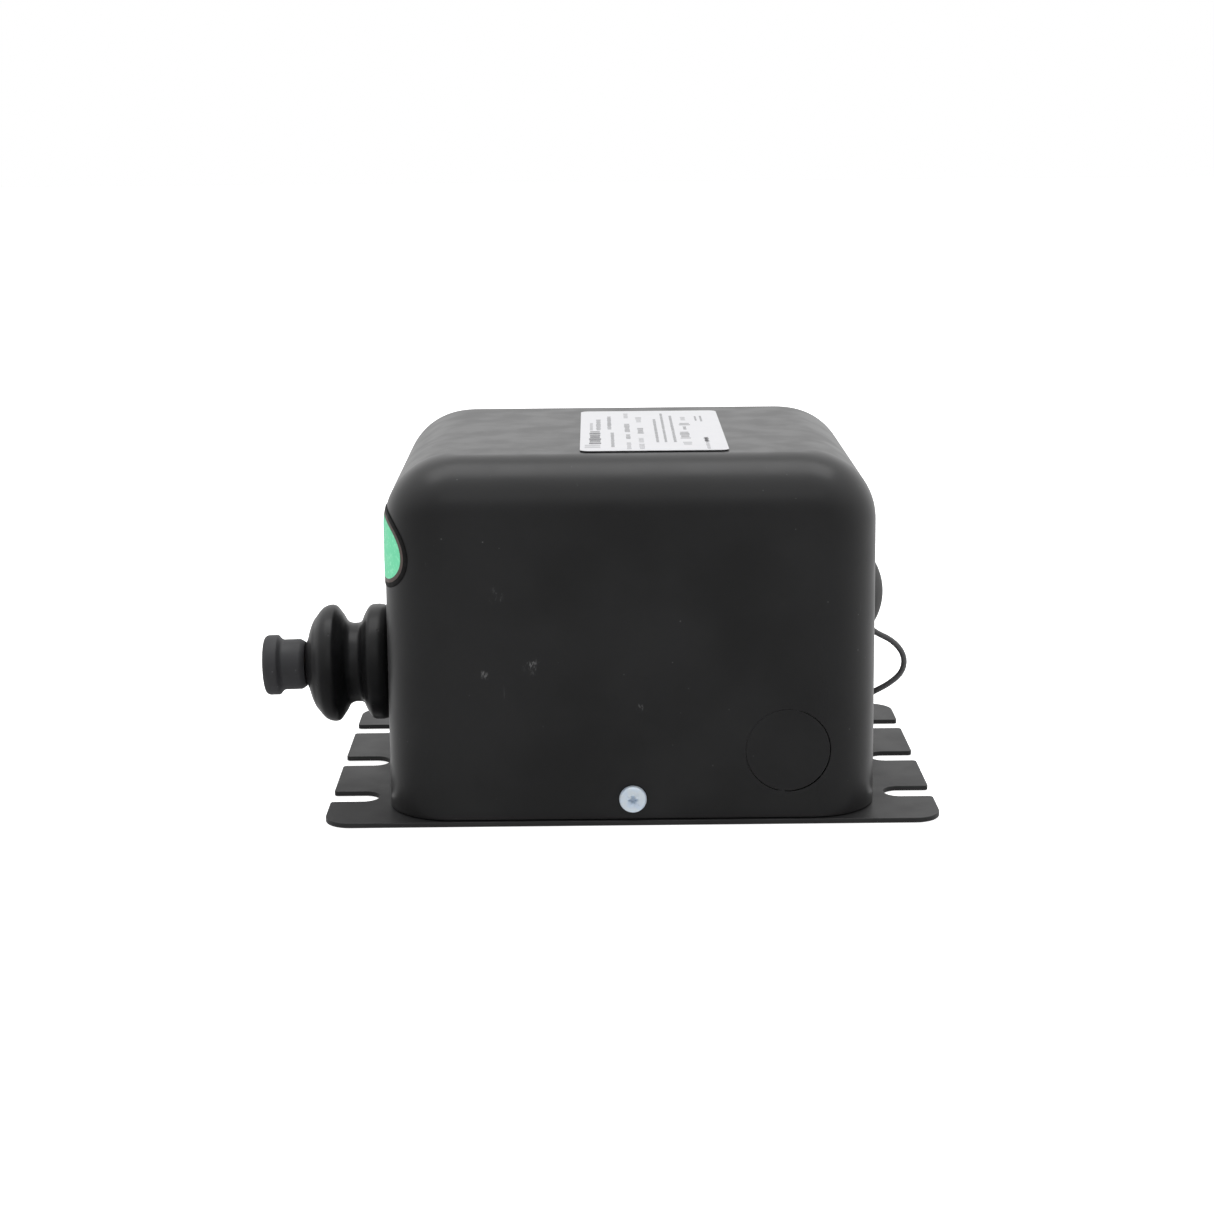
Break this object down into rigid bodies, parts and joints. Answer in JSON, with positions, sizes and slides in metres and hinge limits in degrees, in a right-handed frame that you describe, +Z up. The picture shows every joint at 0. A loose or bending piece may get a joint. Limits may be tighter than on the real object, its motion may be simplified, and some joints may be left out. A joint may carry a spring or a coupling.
{
  "type": "burner ignition transformer",
  "caption": "Ignition transformer in a drawn steel can on a slotted base plate, with a shedded porcelain high-voltage bushing and a primary lead.",
  "frame": {"origin": "middle of the base plate's underside", "axes": "+Z up out of the mounting surface, -Y towards the face with the cover screw and knock-out, -X towards the high-voltage bushing"},
  "size_m": [0.2085, 0.1531, 0.1095],
  "materials": {
    "case_enamel": "semi-gloss black enamel",
    "base_enamel": "satin black enamel",
    "zinc": "bright zinc plate",
    "label_paper": null,
    "badge_green": "satin green film",
    "porcelain": "black glaze",
    "rubber": "matte black rubber",
    "cap_plastic": "matte dark grey moulding",
    "brass": "turned brass",
    "lamination": "bare silicon steel edges",
    "nylon": "natural nylon",
    "magnet_wire": "enamelled copper wire",
    "bitumen": "cast bitumen compound",
    "lead_insulation": "dark grey lead insulation",
    "hv_silicone": "red silicone sleeve",
    "copper": "bare stranded copper"
  },
  "bodies": {
    "transformer": {"base_plate": "base_enamel", "case_cover": "case_enamel", "knockout_disc": "case_enamel", "cover_screw_front": "zinc", "cover_screw_rear": "zinc", "rating_label": "label_paper", "corner_badge": "badge_green", "hv_bushing": "porcelain", "bushing_gasket": "rubber", "bushing_ring_nut": "nylon", "hv_stud": "brass", "terminal_nut": "brass", "hv_lead": "hv_silicone", "hole_plug": "rubber", "lead_grommet": "rubber", "core_e_stack": "lamination", "core_i_stack": "lamination", "magnetic_shunt_lower": "lamination", "magnetic_shunt_upper": "lamination", "primary_bobbin": "nylon", "primary_winding": "magnet_wire", "secondary_bobbin": "nylon", "secondary_winding": "magnet_wire", "core_bracket_front": "base_enamel", "core_bracket_rear": "base_enamel", "core_bolt_left": "zinc", "core_bolt_right": "zinc", "core_nut_left": "zinc", "core_nut_right": "zinc", "potting_compound": "bitumen", "primary_lead_inside": "lead_insulation", "primary_lead": "lead_insulation", "primary_lead_coil": "lead_insulation", "primary_lead_copper": "copper"},
    "terminal_cap": {"hv_terminal_cap": "cap_plastic"}
  },
  "joints": [
    {"name": "cap_pull", "type": "slide", "parent": "transformer", "child": "terminal_cap", "axis": [-0.9997, 0, -0.0262], "range_m": [0, 0.02]}
  ]
}
